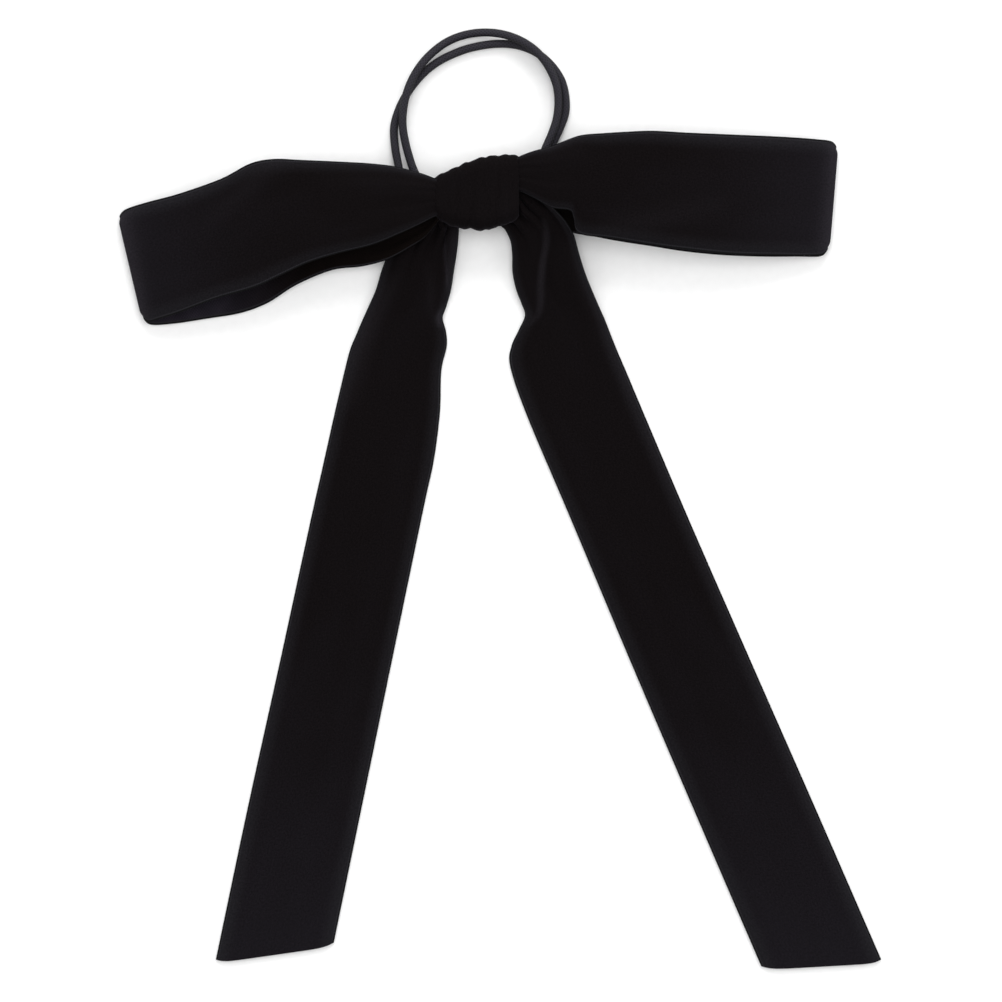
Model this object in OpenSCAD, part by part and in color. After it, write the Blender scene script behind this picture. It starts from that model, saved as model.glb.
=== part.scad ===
// Velvet ribbon hair bow on a doubled elastic hair tie, lying flat on its back.
// Millimetres. X runs to the right along the loops as seen from the front, Y up towards the elastic
// and Z out of the front. The origin is the middle of the flat back of the knot.

/* [Ribbon] */
// Width of the velvet ribbon where it lies flat
ribbon_w = 32; // [30:0.5:34]
// Thickness of the ribbon, backing and pile together
ribbon_t = 1.0; // [0.8:0.05:1.1]

/* [Knot] */
// Height of the wrapped knot from its flat back to its front
knot_height = 14; // [13.8:0.1:15]
// Thickness of the band wrapped round the knot
band_t = 1.0; // [0.8:0.05:1.0]
// Diameter of the sewing and binding thread
thread_d = 0.4; // [0.3:0.05:0.4]
// Number of turns of the binding thread
binding_turns = 6; // [3:1:7]
// Number of stitches that close the band
band_stitch_count = 8; // [4:1:10]

/* [Loops] */
// How high the loops puff up in front
loop_puff = 13.2; // [11:0.2:16]

/* [Tails] */
// Straight length of the left tail below its pinch
left_tail_length = 179; // [100:1:240]
// Angle of the left tail away from straight down
left_tail_splay = 11.5; // [8:0.1:16]
// Straight length of the right tail below its pinch
right_tail_length = 195; // [100:1:240]
// Angle of the right tail away from straight down
right_tail_splay = 23.1; // [18:0.1:26]
// How much longer the outer edge of each tail is cut than its inner edge
cut_slant = 12; // [0:0.5:20]

/* [Elastic] */
// Diameter of the elastic cord
elastic_d = 2.4; // [2:0.05:2.4]
// Outer diameter of the crimped ferrule that joins the cord's ends
ferrule_d = 2.9; // [2.6:0.05:2.9]
// Length of the ferrule
ferrule_l = 5; // [4:0.5:5]

/* [Hidden] */

velvet_colour = [0.07, 0.065, 0.07];
elastic_colour = [0.19, 0.18, 0.23];
thread_colour = [0.1, 0.1, 0.11];
ferrule_colour = [0.3, 0.3, 0.32];

// The elastic turns inside the knot on a line along X, at this Y and Z.
swing_y = -2.5;
swing_z = 4.15;
// Its two strands run side by side there, this far each side of the line.
strand_gap = 1.4;
low_strand_y = swing_y - strand_gap;
// Height of a ribbon's middle where it lies on the table, and of a cord's
rest_z = ribbon_t / 2 + 0.1;
cord_z = elastic_d / 2 + 0.02;

// The knot's sections along X: [x, lower edge y, upper edge y, share of the full height].
KNOT = [
    [-12.8, -6.8, 4.1, 0.86],
    [-8.6, -8.6, 6.2, 0.93],
    [-4.6, -9.8, 8.1, 0.97],
    [2.0, -10.4, 10.0, 1.0],
    [7.0, -9.4, 10.8, 0.99],
    [12.4, -7.5, 11.0, 0.9]
];
knot_back_r = 3;
knot_front_r = 3.5;
corner_steps = 5;

// Each ribbon is a list of rows, from one end of the strip to the other. A row holds the two
// edges of the strip: [upper edge x, y, z, lower edge x, y, z].
LEFT_LOOP = [
    [-13.3, 4.0, 10.8, -13.3, -7.0, 10.6],
    [-24, 7.5, loop_puff - 1.0, -22, -11.7, loop_puff - 1.2],
    [-40, 8.8, loop_puff, -40, -17.8, loop_puff - 0.6],
    [-60, 9.4, loop_puff - 0.7, -60, -25.6, loop_puff - 1.6],
    [-76, 3.2, 9.8, -77, -31.2, 8.8],
    [-92, -1.8, 6.8, -90, -35.4, 6.2],
    [-102.5, -5.6, 4.2, -95.8, -37.4, 3.9],
    [-105.0, -7.4, 2.4, -98.2, -37.4, 2.3],
    [-102.5, -6.8, 0.8, -95.8, -38.0, 0.8],
    [-90, -3.5, rest_z, -83, -36.9, rest_z],
    [-70, 4.0, rest_z, -69, -34.4, rest_z],
    [-55, 7.5, 1.4, -54, -27.5, 1.3],
    [-40, 7.0, 3.3, -40, -21.8, 3.1],
    [-26, 5.5, 5.8, -27, -19.4, 5.5],
    [-13.3, 3.0, 7.7, -14.5, -11.8, 7.5]
];
RIGHT_LOOP = [
    [13.0, 10.2, 10.8, 13.0, 0.8, 10.6],
    [22, 13.6, loop_puff - 0.9, 22, -2.2, loop_puff - 1.2],
    [34, 16.8, loop_puff, 33, -9.2, loop_puff - 0.6],
    [50, 17.8, loop_puff, 48, -13.8, loop_puff - 0.8],
    [70, 16.9, 11.4, 68, -17.0, 10.6],
    [88, 16.0, 8.2, 86, -17.6, 7.6],
    [101.5, 15.2, 4.6, 99.5, -17.2, 4.3],
    [105.2, 13.6, 2.5, 103.0, -16.4, 2.4],
    [101.5, 14.4, 0.8, 99.5, -18.0, 0.8],
    [88, 15.2, rest_z, 86, -18.0, rest_z],
    [68, 15.8, rest_z, 66, -17.4, rest_z],
    [50, 15.8, 1.7, 48, -14.4, 1.5],
    [36, 14.0, 3.7, 35, -11.2, 3.4],
    [24, 11.5, 6.1, 24, -3.8, 5.9],
    [13.0, 9.4, 7.7, 13.0, 0.6, 7.5]
];
// In the tails the first edge of a row is the outer one and the second the inner one.
left_pinch_y = -37.6;
right_pinch_y = -36.8;
pinch_gap = 0.35;
LEFT_NECK = [
    [-14.6, -7.0, 3.6, -7.5, -11.2, 3.2],
    [-20.5, -9.5, 3.0, -6.0, -12.6, 2.4],
    [-26.0, -16.0, 2.0, -6.2, -18.0, 1.4],
    [-29.4, -26.5, 1.0, -8.2, -27.5, 0.9],
    [-34.2, left_pinch_y + pinch_gap / 2, rest_z, -10.6, left_pinch_y + pinch_gap / 2, rest_z]
];
RIGHT_NECK = [
    [14.8, -6.2, 6.0, 8.4, -11.4, 5.6],
    [21.5, -7.6, 6.2, 9.4, -13.0, 4.6],
    [27.9, -12.8, 5.2, 10.9, -16.0, 3.5],
    [31.0, -22.0, 2.8, 11.5, -23.0, 2.1],
    [34.2, -30.5, 1.2, 13.2, -30.5, 1.1],
    [37.0, right_pinch_y + pinch_gap / 2, rest_z, 14.3, right_pinch_y + pinch_gap / 2, rest_z]
];
// Rows of the tails from the pinch to where they run straight
LEFT_FLARE = [
    [-34.3, left_pinch_y - pinch_gap / 2, rest_z, -10.6, left_pinch_y - pinch_gap / 2, rest_z],
    [-36.6, -42.5, rest_z, -9.6, -43.0, rest_z]
];
RIGHT_FLARE = [
    [37.1, right_pinch_y - pinch_gap / 2, rest_z, 14.3, right_pinch_y - pinch_gap / 2, rest_z],
    [39.4, -42.5, rest_z, 11.3, -43.0, rest_z]
];
left_straight_from = [-23.6, -49.4];
right_straight_from = [25.7, -49.4];
// The ribbon is still drawn in a little where it leaves the pinch: its share of the full width
left_drawn_in = 0.89;
right_drawn_in = 0.93;

// The elastic makes two turns. Above the knot each follows [angle, radius, z] round ring_centre.
ring_centre = [1.04, 22.2];
FIRST_RING = [
    [-20, 22.7, 1.6], [4, 25.2, cord_z], [26, 26.5, cord_z], [48, 25.75, cord_z], [68, 23.8, cord_z],
    [90, 21.6, cord_z], [112, 20.8, cord_z], [136, 21.4, cord_z], [162, 23.1, cord_z], [186, 25.8, 1.3],
    [210, 28.1, 2.2]
];
SECOND_RING = [
    [-24, 21.2, 3.9], [0, 22.6, 3.0], [24, 24.6, 3.0], [48, 25.75, 3.85], [70, 25.85, 3.2],
    [92, 25.45, 1.5], [114, 24.8, 1.4], [138, 23.7, 3.1], [162, 23.1, 3.85], [186, 23.2, 2.8],
    [210, 24.2, 2.4]
];
// Between the knot and the ring: [x, y, z], on the right and on the left
FIRST_OUT = [[17.6, -0.9, 3.5], [20.9, 6.6, 2.3]];
FIRST_BACK = [[-21.6, 1.8, 3.4], [-17.8, -2.6, 4.0]];
SECOND_OUT = [[15.8, 2.2, 4.2], [18.4, 8.0, 4.15]];
SECOND_BACK = [[-18.0, 5.2, 3.2], [-15.9, 0.9, 4.0]];
// Where the strands leave the knot, where they swap places inside it and where the ferrule is
strand_end_x = 12.8;
swap_x = [-9, 3.5];
ferrule_x = 6.7;
cord_end_gap = 0.2;
elastic_sides = 8;

// The gathered ribbons inside the knot: [x, lower y, upper y] shared by both
PINCH = [[-12.3, -5.8, 3.0], [-6, -6.6, 5.4], [-3, -6.4, 5.8], [3, -6.4, 6.4], [6, -7.2, 7.6], [12, -6.2, 9.4]];
tail_pinch_z = [7.7, 9.1];
loop_pinch_z = [9.25, 10.6];
loop_pinch_narrower = 1.2;
pinch_r = 0.6;

function flat(lists) = [for (list = lists) each list];
function edge_a(row) = [row[0], row[1], row[2]];
function edge_b(row) = [row[3], row[4], row[5]];
function unit(v) = v / norm(v);
function between(a, b, share) = a + (b - a) * share;

// A point on the smooth curve through b and c, with neighbours a and d
function curve_point(a, b, c, d, t) =
    0.5 * (2 * b + (c - a) * t + (2 * a - 5 * b + 4 * c - d) * t * t + (3 * b - a - 3 * c + d) * t * t * t);

// A smooth curve through the points, with the given number of steps in each stretch
function smooth(points, steps) = let (last = len(points) - 1) [
    for (i = [0:last - 1], k = [0:steps - 1])
        curve_point(points[max(i - 1, 0)], points[i], points[i + 1], points[min(i + 2, last)], k / steps),
    points[last]
];

// Faces of a closed skin over rings of points that all have the same number of sides
function skin_faces(rings, sides) = concat(
    [[for (s = [0:sides - 1]) s]],
    flat([for (r = [0:rings - 2], s = [0:sides - 1]) let (
        here = r * sides + s,
        beside = r * sides + (s + 1) % sides
    ) [[here, here + sides, beside + sides], [here, beside + sides, beside]]]),
    [[for (s = [sides - 1:-1:0]) (rings - 1) * sides + s]]
);

// Ends of a skin over rings with more than four sides are cut into triangles round a corner.
module skin(rings) {
    sides = len(rings[0]);
    polyhedron(points = flat(rings), faces = skin_faces(len(rings), sides), convexity = 6);
}

// The four corners of a ribbon's section at one row of its list
function ribbon_section(rows, i, thick) = let (
    row = rows[i],
    before = rows[max(i - 1, 0)],
    after = rows[min(i + 1, len(rows) - 1)],
    along = edge_a(after) + edge_b(after) - edge_a(before) - edge_b(before),
    across = edge_b(row) - edge_a(row),
    out = unit(cross(across, along)) * thick / 2
) [edge_a(row) + out, edge_b(row) + out, edge_b(row) - out, edge_a(row) - out];

// A strip of ribbon through the rows
module ribbon(rows, steps) {
    fine = smooth(rows, steps);
    skin([for (i = [0:len(fine) - 1]) ribbon_section(fine, i, ribbon_t)]);
}

// A tail's rows: its flare below the pinch, then straight to a slanted end. side is -1 or 1.
function tail_rows(flare, from, side, splay, length, drawn_in) = let (
    down = [side * sin(splay), -cos(splay), 0],
    over = [side * cos(splay), sin(splay), 0],
    start = [from[0], from[1], rest_z],
    half_start = ribbon_w * drawn_in / 2,
    half_end = ribbon_w / 2
) concat(flare, [
    for (share = [0, 0.1, 0.4, 0.7, 1]) let (
        half = between(half_start, half_end, min(share * 3, 1)),
        middle = start + down * length * share,
        slant = down * cut_slant / 2 * share
    ) [
        each middle + over * half + slant,
        each middle - over * half - slant
    ]
]);

// A rounded section in the YZ plane at x, from corner [y0, z0] to [y1, z1]
function rounded_section(x, y0, y1, z0, z1, back_r, front_r) = let (
    corners = [
        [y1 - back_r, z0 + back_r, back_r, -90],
        [y1 - front_r, z1 - front_r, front_r, 0],
        [y0 + front_r, z1 - front_r, front_r, 90],
        [y0 + back_r, z0 + back_r, back_r, 180]
    ]
) [
    for (c = corners, k = [0:corner_steps]) let (a = c[3] + 90 * k / corner_steps)
        [x, c[0] + c[2] * cos(a), c[1] + c[2] * sin(a)]
];

// The knot's section, drawn in by a wall thickness
function knot_section(row, wall) = rounded_section(
    row[0], row[1] + wall, row[2] - wall, wall, knot_height * row[3] - wall,
    knot_back_r - wall, knot_front_r - wall
);

// A closed tube between outer rings and inner rings
module tube_skin(outer, inner) {
    sides = len(outer[0]);
    rings = len(outer);
    inside = rings * sides;
    last = (rings - 1) * sides;
    walls = [for (r = [0:rings - 2], s = [0:sides - 1]) let (
        here = r * sides + s,
        beside = r * sides + (s + 1) % sides
    ) [
        [here, here + sides, beside + sides], [here, beside + sides, beside],
        [inside + here, inside + beside, inside + beside + sides],
        [inside + here, inside + beside + sides, inside + here + sides]
    ]];
    ends = [for (s = [0:sides - 1]) let (n = (s + 1) % sides) [
        [s, n, inside + n], [s, inside + n, inside + s],
        [last + s, inside + last + n, last + n], [last + s, inside + last + s, inside + last + n]
    ]];
    polyhedron(points = concat(flat(outer), flat(inner)), faces = concat(flat(walls), flat(ends)), convexity = 6);
}

// The wrapped band of the knot: a tube along X with a flat back
module knot_band() {
    color(velvet_colour)
        tube_skin([for (row = KNOT) knot_section(row, 0)], [for (row = KNOT) knot_section(row, band_t)]);
}

// Hand stitches over the band's seam, each an arc round the upper back corner
module band_stitches() {
    reach = 9;
    arc = 50;
    stand_off = 0.06;
    color(thread_colour)
        for (i = [0:band_stitch_count - 1]) {
            x = -reach + 2 * reach * i / (band_stitch_count - 1);
            top = lookup(x, [for (row = KNOT) [row[0], row[2]]]);
            translate([x, top - knot_back_r, knot_back_r])
                rotate([90, 0, 90])
                    rotate([0, 0, -arc])
                        rotate_extrude(angle = arc, $fn = 64)
                            translate([knot_back_r + thread_d / 2 + stand_off, 0])
                                circle(d = thread_d, $fn = 16);
        }
}

// Turns of thread drawn tight round the gathered ribbons
module binding_thread() {
    low = [PINCH[2][1] - 0.2, tail_pinch_z[0] - 0.1];
    high = [PINCH[3][2] + 0.2, loop_pinch_z[1] + 0.1];
    pitch = thread_d * 1.5;
    size = high - low;
    color(thread_colour)
        for (i = [0:binding_turns - 1])
            translate([(i - (binding_turns - 1) / 2) * pitch - thread_d / 2, low[0], low[1]])
                rotate([90, 0, 90])
                    linear_extrude(thread_d)
                        difference() {
                            translate([-thread_d, -thread_d]) square([size[0] + 2 * thread_d, size[1] + 2 * thread_d]);
                            square([size[0], size[1]]);
                        }
}

// Two rings of thread that hold the elastic inside the knot and let it turn
module keeper_stitches() {
    ring_x = 10.6;
    clear_r = strand_gap + elastic_d / 2 + 0.1;
    color(thread_colour)
        for (x = [-ring_x, ring_x])
            translate([x, swing_y, swing_z])
                rotate([0, 90, 0])
                    rotate_extrude($fn = 64)
                        translate([clear_r + thread_d / 2, 0])
                            circle(d = thread_d, $fn = 16);
}

// A gathered ribbon inside the knot, between two heights and narrower by so much at each side
module pinch(z, narrower) {
    color(velvet_colour)
        skin([
            for (row = PINCH)
                rounded_section(row[0], row[1] + narrower, row[2] - narrower, z[0], z[1], pinch_r, pinch_r)
        ]);
}

module loop_pinch() {
    pinch(loop_pinch_z, loop_pinch_narrower);
}

module tail_pinch() {
    pinch(tail_pinch_z, 0);
}

module left_loop() {
    color(velvet_colour) ribbon(LEFT_LOOP, 4);
}

module right_loop() {
    color(velvet_colour) ribbon(RIGHT_LOOP, 4);
}

module left_tail_neck() {
    color(velvet_colour) ribbon(LEFT_NECK, 4);
}

module right_tail_neck() {
    color(velvet_colour) ribbon(RIGHT_NECK, 4);
}

module left_tail() {
    rows = tail_rows(LEFT_FLARE, left_straight_from, -1, left_tail_splay, left_tail_length, left_drawn_in);
    color(velvet_colour) ribbon(rows, 3);
}

module right_tail() {
    rows = tail_rows(RIGHT_FLARE, right_straight_from, 1, right_tail_splay, right_tail_length, right_drawn_in);
    color(velvet_colour) ribbon(rows, 3);
}

// One ring of the elastic's tube round a point, square to its direction
function cord_ring(path, i) = let (
    along = unit(path[min(i + 1, len(path) - 1)] - path[max(i - 1, 0)]),
    side = unit(cross([0, 0, 1], along)),
    up = cross(along, side)
) [
    for (s = [0:elastic_sides - 1]) let (a = 360 * (s + 0.5) / elastic_sides)
        path[i] + (side * cos(a) + up * sin(a)) * elastic_d / 2
];

// A point on one of the two strands in the knot: side is -1 for the low one, turned by so much
function strand_point(x, side, turned) =
    [x, swing_y + side * strand_gap * cos(turned), swing_z - side * strand_gap * sin(turned)];

// One turn of the elastic, from the knot's right end round the ring to its left end
function elastic_turn(side, out, ring, back) = smooth([
    strand_point(strand_end_x, side, 0),
    each out,
    for (p = ring) [ring_centre[0] + p[1] * cos(p[0]), ring_centre[1] + p[1] * sin(p[0]), p[2]],
    each back,
    strand_point(-strand_end_x, side, 0)
], 2);

// The half twist in the knot that takes each strand over to the other's place
function elastic_swap(side) = [
    for (k = [0:4]) strand_point(between(swap_x[0], swap_x[1], k / 4), side, 45 * k)
];

// The whole route: out of the ferrule, round the first turn and the second, and back into it
function elastic_route() = [
    strand_point(ferrule_x + cord_end_gap / 2, -1, 0),
    each elastic_turn(-1, FIRST_OUT, FIRST_RING, FIRST_BACK),
    each elastic_swap(-1),
    each elastic_turn(1, SECOND_OUT, SECOND_RING, SECOND_BACK),
    each elastic_swap(1),
    strand_point(ferrule_x - cord_end_gap / 2, -1, 0)
];

module elastic_cord() {
    path = elastic_route();
    color(elastic_colour) skin([for (i = [0:len(path) - 1]) cord_ring(path, i)]);
}

// The crimped ring over the two ends of the cord
module elastic_ferrule() {
    bore_gap = 0.08;
    color(ferrule_colour)
        translate([ferrule_x, low_strand_y, swing_z])
            rotate([0, 90, 0])
                difference() {
                    cylinder(d = ferrule_d, h = ferrule_l, center = true, $fn = 48);
                    cylinder(d = elastic_d + bore_gap, h = ferrule_l + 2, center = true, $fn = 48);
                }
}

knot_band();
band_stitches();
binding_thread();
keeper_stitches();
loop_pinch();
tail_pinch();
left_loop();
right_loop();
left_tail_neck();
left_tail();
right_tail_neck();
right_tail();
elastic_cord();
elastic_ferrule();
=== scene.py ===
import math

import bpy
import numpy as np
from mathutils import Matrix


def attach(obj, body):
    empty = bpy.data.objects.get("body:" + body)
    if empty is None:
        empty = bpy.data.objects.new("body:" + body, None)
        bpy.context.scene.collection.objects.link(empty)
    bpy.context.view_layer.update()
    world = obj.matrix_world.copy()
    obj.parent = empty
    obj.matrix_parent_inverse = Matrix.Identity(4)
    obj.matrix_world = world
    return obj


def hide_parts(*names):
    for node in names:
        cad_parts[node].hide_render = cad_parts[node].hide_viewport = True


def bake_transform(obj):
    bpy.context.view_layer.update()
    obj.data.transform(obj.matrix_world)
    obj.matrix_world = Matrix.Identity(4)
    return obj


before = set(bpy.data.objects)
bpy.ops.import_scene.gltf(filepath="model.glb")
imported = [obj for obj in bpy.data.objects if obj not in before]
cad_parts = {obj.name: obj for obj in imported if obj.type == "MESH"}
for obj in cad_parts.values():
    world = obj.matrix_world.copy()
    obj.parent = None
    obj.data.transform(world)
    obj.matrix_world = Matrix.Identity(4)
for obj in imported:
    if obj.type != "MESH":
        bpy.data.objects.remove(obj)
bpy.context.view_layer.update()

# A velvet ribbon bow on a doubled elastic: one gathered band round the middle, a ribbon that makes
# both loops, a second ribbon that makes both tails, thread, and an elastic with its ferrule.
# Every length below is in millimetres until it is put in a mesh.
MM = 0.001

bpy.context.scene.view_settings.view_transform = "Standard"


# ---------------------------------------------------------------- camera, straight above

lens = 300
frame_width = 296.6
frame_middle = (7.1, -91.2)
camera_height = 6 + frame_width * lens / 36
bpy.ops.object.select_all(action="DESELECT")
bpy.ops.object.camera_add(
    location=(frame_middle[0] * MM, frame_middle[1] * MM, camera_height * MM), rotation=(0, 0, 0))
camera = bpy.context.object
camera.name = "Camera"
camera.data.lens = lens
camera.data.clip_start = 0.01
camera.data.clip_end = 20
bpy.context.scene.camera = camera


# ---------------------------------------------------------------- colours and nodes

def linear(hex_colour):
    """An sRGB hex colour as linear red, green, blue and alpha."""
    values = [int(hex_colour[i:i + 2], 16) / 255 for i in (1, 3, 5)]
    return tuple(v / 12.92 if v <= 0.04045 else ((v + 0.055) / 1.055) ** 2.4 for v in values) + (1.0,)


def add_node(tree, kind, settings=None, inputs=None):
    """Adds one node. Settings are its own properties. An input gets a value or another node's output."""
    node = tree.nodes.new(kind)
    for name, value in (settings or {}).items():
        setattr(node, name, value)
    for name, value in (inputs or {}).items():
        if isinstance(value, bpy.types.NodeSocket):
            tree.links.new(value, node.inputs[name])
        else:
            node.inputs[name].default_value = value
    return node


def new_material(name):
    """An empty material with its Principled shader: the material, its tree and the shader."""
    material = bpy.data.materials.new(name)
    material.use_nodes = True
    tree = material.node_tree
    return material, tree, tree.nodes["Principled BSDF"]


# ---------------------------------------------------------------- materials

ribbon_width = 32.0

# Black rayon velvet, woven with a cut pile: light sinks between the fibres, so the face is nearly
# black. Its colour is painted warmer and darker near the knot as shade, and greyer at the folds, the
# cut ends and the edges as sheen.
velvet, tree, shader = new_material("black rayon cut pile")
uv = add_node(tree, "ShaderNodeUVMap", {"uv_map": "ribbon"})
at = add_node(tree, "ShaderNodeSeparateXYZ", {}, {"Vector": uv.outputs["UV"]})
outwards = add_node(tree, "ShaderNodeAttribute", {"attribute_name": "outwards"})
# Strokes left by a hand, 10 mm wide and longer along the ribbon
stroke_place = add_node(tree, "ShaderNodeMapping", {}, {
    "Vector": uv.outputs["UV"], "Scale": (1 / 10, 1 / 26, 1)})
strokes = add_node(tree, "ShaderNodeTexNoise", {"noise_dimensions": "2D"}, {
    "Vector": stroke_place.outputs[0], "Scale": 1.0, "Detail": 2.0, "Roughness": 0.5})
stroke_lean = add_node(tree, "ShaderNodeMath", {"operation": "MULTIPLY_ADD"}, {
    0: strokes.outputs["Fac"], 1: 0.3, 2: -0.15})
# The face runs from painted shade near the knot to painted sheen towards the folds and cut ends, with the
# strokes added
sheen_and_strokes = add_node(tree, "ShaderNodeMath", {"operation": "ADD", "use_clamp": True}, {
    0: outwards.outputs["Fac"], 1: stroke_lean.outputs[0]})
face = add_node(tree, "ShaderNodeMix", {"data_type": "RGBA"}, {
    0: sheen_and_strokes.outputs[0], 6: linear("#0d0a0b"), 7: linear("#171519")})
# A painted sheen lightens the last 5 mm before the selvedge, more strongly further out from the knot.
off_centre = add_node(tree, "ShaderNodeMath", {"operation": "SUBTRACT"}, {
    0: at.outputs["X"], 1: ribbon_width / 2})
off_centre = add_node(tree, "ShaderNodeMath", {"operation": "ABSOLUTE"}, {0: off_centre.outputs[0]})
edge_sheen = add_node(tree, "ShaderNodeMapRange", {"interpolation_type": "SMOOTHSTEP"}, {
    "Value": off_centre.outputs[0], "From Min": ribbon_width / 2 - 5.0, "From Max": ribbon_width / 2 - 0.6})
edge_sheen_share = add_node(tree, "ShaderNodeMapRange", {}, {
    "Value": outwards.outputs["Fac"], "To Min": 0.55, "To Max": 1.0})
edge_sheen = add_node(tree, "ShaderNodeMath", {"operation": "MULTIPLY"}, {
    0: edge_sheen.outputs[0], 1: edge_sheen_share.outputs[0]})
edge = add_node(tree, "ShaderNodeMix", {"data_type": "RGBA"}, {
    0: edge_sheen.outputs[0], 6: face.outputs[2], 7: linear("#1c1b1e")})
# Along sharp bends, the outer folds and the creases, a painted sheen lightens the pile.
bend_sheen = add_node(tree, "ShaderNodeAttribute", {"attribute_name": "bend_sheen"})
bend_sheen_colour = add_node(tree, "ShaderNodeMix", {"data_type": "RGBA"}, {
    0: bend_sheen.outputs["Fac"], 6: edge.outputs[2], 7: linear("#37343a")})
# Tufts of pile are about 0.15 mm apart; they are drawn 0.5 mm apart so that they show.
tuft_place = add_node(tree, "ShaderNodeMapping", {}, {
    "Vector": uv.outputs["UV"], "Scale": (1 / 0.5, 1 / 0.6, 1)})
tufts = add_node(tree, "ShaderNodeTexNoise", {"noise_dimensions": "2D"}, {
    "Vector": tuft_place.outputs[0], "Scale": 1.0, "Detail": 4.0, "Roughness": 0.7})
tuft_shade = add_node(tree, "ShaderNodeMapRange", {}, {
    "Value": tufts.outputs["Fac"], "From Min": 0.3, "From Max": 0.7, "To Min": 0.7, "To Max": 1.3})
pile_colour = add_node(tree, "ShaderNodeVectorMath", {"operation": "SCALE"}, {
    0: bend_sheen_colour.outputs[2], "Scale": tuft_shade.outputs[0]})
tree.links.new(pile_colour.outputs[0], shader.inputs["Base Color"])
pile_bump = add_node(tree, "ShaderNodeBump", {}, {
    "Height": tufts.outputs["Fac"], "Strength": 0.5, "Distance": 0.0002})
tree.links.new(pile_bump.outputs[0], shader.inputs["Normal"])
shader.inputs["Roughness"].default_value = 0.95
shader.inputs["Specular IOR Level"].default_value = 0.03
shader.inputs["Sheen Weight"].default_value = 0.035
shader.inputs["Sheen Roughness"].default_value = 0.35
shader.inputs["Sheen Tint"].default_value = linear("#cfc8dc")

# Woven rayon backing, the plain side of the ribbon: a fine plain weave with a slight satin light. It
# is painted brown-black as shade near the knot and painted greyer towards the folds as light.
backing, tree, shader = new_material("woven rayon backing")
uv = add_node(tree, "ShaderNodeUVMap", {"uv_map": "ribbon"})
# Threads are about 0.2 mm apart; they are drawn 0.45 mm apart so that they show.
weave_place = add_node(tree, "ShaderNodeMapping", {}, {
    "Vector": uv.outputs["UV"], "Scale": (1 / 0.45, 1 / 0.45, 1)})
weave = add_node(tree, "ShaderNodeTexChecker", {}, {
    "Vector": weave_place.outputs[0], "Scale": 1.0, "Color1": (1, 1, 1, 1), "Color2": (0, 0, 0, 1)})
# Soft clouds of dye, 6 mm wide and 9 mm long
cloud_place = add_node(tree, "ShaderNodeMapping", {}, {
    "Vector": uv.outputs["UV"], "Scale": (1 / 6, 1 / 9, 1)})
cloud = add_node(tree, "ShaderNodeTexNoise", {"noise_dimensions": "2D"}, {
    "Vector": cloud_place.outputs[0], "Scale": 1.0, "Detail": 2.0})
outwards = add_node(tree, "ShaderNodeAttribute", {"attribute_name": "outwards"})
greyer = add_node(tree, "ShaderNodeMapRange", {}, {
    "Value": outwards.outputs["Fac"], "From Min": 0.02, "From Max": 0.3})
# Painted shade near the knot, painted light towards the folds
painted_shade_and_light = add_node(tree, "ShaderNodeMix", {"data_type": "RGBA"}, {
    0: greyer.outputs[0], 6: linear("#0b0706"), 7: linear("#211e25")})
thread_shade = add_node(tree, "ShaderNodeMapRange", {}, {
    "Value": weave.outputs["Fac"], "To Min": 0.8, "To Max": 1.15})
cloud_shade = add_node(tree, "ShaderNodeMapRange", {}, {
    "Value": cloud.outputs["Fac"], "From Min": 0.3, "From Max": 0.7, "To Min": 0.85, "To Max": 1.15})
shade = add_node(tree, "ShaderNodeMath", {"operation": "MULTIPLY"}, {
    0: thread_shade.outputs[0], 1: cloud_shade.outputs[0]})
backing_colour = add_node(tree, "ShaderNodeVectorMath", {"operation": "SCALE"}, {
    0: painted_shade_and_light.outputs[2], "Scale": shade.outputs[0]})
tree.links.new(backing_colour.outputs[0], shader.inputs["Base Color"])
weave_bump = add_node(tree, "ShaderNodeBump", {}, {
    "Height": weave.outputs["Fac"], "Strength": 0.4, "Distance": 0.0001})
tree.links.new(weave_bump.outputs[0], shader.inputs["Normal"])
shader.inputs["Roughness"].default_value = 0.85
shader.inputs["Specular IOR Level"].default_value = 0.03

# Woven selvedge, the last millimetre of the ribbon: tight threads without pile, so it is lighter than
# the face with a dull thread shine. Its outermost thread is rounded off and is painted near black as shade.
selvedge, tree, shader = new_material("woven rayon selvedge")
uv = add_node(tree, "ShaderNodeUVMap", {"uv_map": "ribbon"})
# The threads that cross the ribbon are about 0.2 mm apart; they are drawn 0.5 mm apart here.
pick_place = add_node(tree, "ShaderNodeMapping", {}, {
    "Vector": uv.outputs["UV"], "Scale": (0.2, 1 / 0.5, 1)})
picks = add_node(tree, "ShaderNodeTexWave", {"bands_direction": "Y", "wave_profile": "SIN"}, {
    "Vector": pick_place.outputs[0], "Scale": 1 / math.pi, "Distortion": 1.5, "Detail": 2.0})
pick_colour = add_node(tree, "ShaderNodeMix", {"data_type": "RGBA"}, {
    0: picks.outputs["Fac"], 6: linear("#171619"), 7: linear("#262529")})
at = add_node(tree, "ShaderNodeSeparateXYZ", {}, {"Vector": uv.outputs["UV"]})
off_centre = add_node(tree, "ShaderNodeMath", {"operation": "SUBTRACT"}, {
    0: at.outputs["X"], 1: ribbon_width / 2})
off_centre = add_node(tree, "ShaderNodeMath", {"operation": "ABSOLUTE"}, {0: off_centre.outputs[0]})
outermost = add_node(tree, "ShaderNodeMapRange", {}, {
    "Value": off_centre.outputs[0], "From Min": ribbon_width / 2 - 0.5, "From Max": ribbon_width / 2 - 0.35})
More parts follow.
